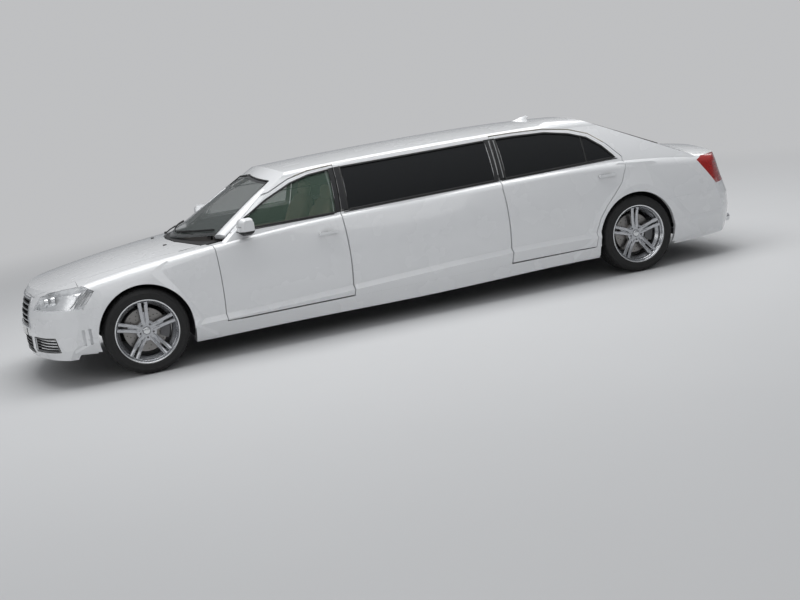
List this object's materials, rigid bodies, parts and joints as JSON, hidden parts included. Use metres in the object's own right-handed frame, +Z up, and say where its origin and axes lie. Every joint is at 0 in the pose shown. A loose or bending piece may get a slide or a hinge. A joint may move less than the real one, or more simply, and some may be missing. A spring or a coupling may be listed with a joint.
{
  "type": "stretched luxury sedan",
  "caption": "Stretched luxury sedan with hinged doors, bonnet and boot lid, a fixed panel between its doors, and steered and free-turning wheels.",
  "frame": {"origin": "on the ground, under the middle of the car's length and width", "axes": "+X towards the tail, +Y towards the car's right-hand side, +Z up"},
  "size_m": [6.5448, 2.104, 1.4785],
  "materials": {
    "paint": "gloss white",
    "clear_glass": "tinted",
    "smoked_glass": "smoked",
    "lamp_clear": "clear lens",
    "lamp_red": "red lens",
    "grille": "chrome and black",
    "trim": "black",
    "underbody": "satin",
    "steel": "cast",
    "alloy": "silver lacquer",
    "tyre": "rubber",
    "leather": "cream",
    "dash": "dark"
  },
  "bodies": {
    "body": {"centre_panels": "paint", "centre_windows": "smoked_glass", "roof": "paint", "windscreen": "clear_glass", "rear_window": "smoked_glass", "headlamps": "lamp_clear", "wing_left": "paint", "wing_right": "paint", "front_bumper": "paint", "grille": "grille", "cowl": "trim", "tail_lamps": "lamp_red", "quarter_left": "paint", "quarter_right": "paint", "rear_deck": "paint", "rear_bumper": "paint", "sill_left": "paint", "sill_right": "paint", "floor_pan": "underbody", "front_bay": "underbody", "boot_floor": "underbody", "front_axle": "steel", "rear_axle": "steel", "engine": "steel", "exhaust": "steel", "front_seats": "leather", "rear_seats": "leather", "dashboard": "dash"},
    "front_left_door": {"door_front_left": "paint", "window_front_left": "clear_glass", "mirror_left": "paint"},
    "rear_left_door": {"door_rear_left": "paint", "window_rear_left": "smoked_glass"},
    "left_knuckle": {"knuckle_left": "steel"},
    "front_left_wheel": {"wheel_front_left": "alloy", "tyre_front_left": "tyre"},
    "rear_left_wheel": {"wheel_rear_left": "alloy", "tyre_rear_left": "tyre"},
    "front_right_door": {"door_front_right": "paint", "window_front_right": "clear_glass", "mirror_right": "paint"},
    "rear_right_door": {"door_rear_right": "paint", "window_rear_right": "smoked_glass"},
    "right_knuckle": {"knuckle_right": "steel"},
    "front_right_wheel": {"wheel_front_right": "alloy", "tyre_front_right": "tyre"},
    "rear_right_wheel": {"wheel_rear_right": "alloy", "tyre_rear_right": "tyre"},
    "bonnet": {"bonnet": "paint"},
    "boot_lid": {"boot_lid": "paint"}
  },
  "joints": [
    {"name": "front_left_door_hinge", "type": "hinge", "parent": "body", "child": "front_left_door", "pos_m": [-1.6505, -0.908, 0.6], "axis": [0, 0, -1], "range_deg": [0, 66]},
    {"name": "rear_left_door_hinge", "type": "hinge", "parent": "body", "child": "rear_left_door", "pos_m": [0.9195, -0.908, 0.6], "axis": [0, 0, -1], "range_deg": [0, 66]},
    {"name": "left_steering", "type": "hinge", "parent": "body", "child": "left_knuckle", "pos_m": [-2.3675, -0.712, 0.346], "axis": [0, 0, 1], "range_deg": [-35, 35]},
    {"name": "front_left_wheel_spin", "type": "hinge", "parent": "left_knuckle", "child": "front_left_wheel", "pos_m": [-2.3675, -0.8, 0.346], "axis": [0, 1, 0], "continuous": true},
    {"name": "rear_left_wheel_spin", "type": "hinge", "parent": "body", "child": "rear_left_wheel", "pos_m": [2.0975, -0.8, 0.346], "axis": [0, 1, 0], "continuous": true},
    {"name": "front_right_door_hinge", "type": "hinge", "parent": "body", "child": "front_right_door", "pos_m": [-1.6505, 0.908, 0.6], "axis": [0, 0, 1], "range_deg": [0, 66]},
    {"name": "rear_right_door_hinge", "type": "hinge", "parent": "body", "child": "rear_right_door", "pos_m": [0.9195, 0.908, 0.6], "axis": [0, 0, 1], "range_deg": [0, 66]},
    {"name": "right_steering", "type": "hinge", "parent": "body", "child": "right_knuckle", "pos_m": [-2.3675, 0.712, 0.346], "axis": [0, 0, 1], "range_deg": [-35, 35]},
    {"name": "front_right_wheel_spin", "type": "hinge", "parent": "right_knuckle", "child": "front_right_wheel", "pos_m": [-2.3675, 0.8, 0.346], "axis": [0, 1, 0], "continuous": true},
    {"name": "rear_right_wheel_spin", "type": "hinge", "parent": "body", "child": "rear_right_wheel", "pos_m": [2.0975, 0.8, 0.346], "axis": [0, 1, 0], "continuous": true},
    {"name": "bonnet_hinge", "type": "hinge", "parent": "body", "child": "bonnet", "pos_m": [-1.7275, 0, 0.905], "axis": [0, 1, 0], "range_deg": [0, 50]},
    {"name": "boot_lid_hinge", "type": "hinge", "parent": "body", "child": "boot_lid", "pos_m": [2.7375, 0, 1.018], "axis": [0, -1, 0], "range_deg": [0, 75]}
  ],
  "couplings": [
    {"joint": "right_steering", "follows": "left_steering", "ratio": 1}
  ]
}
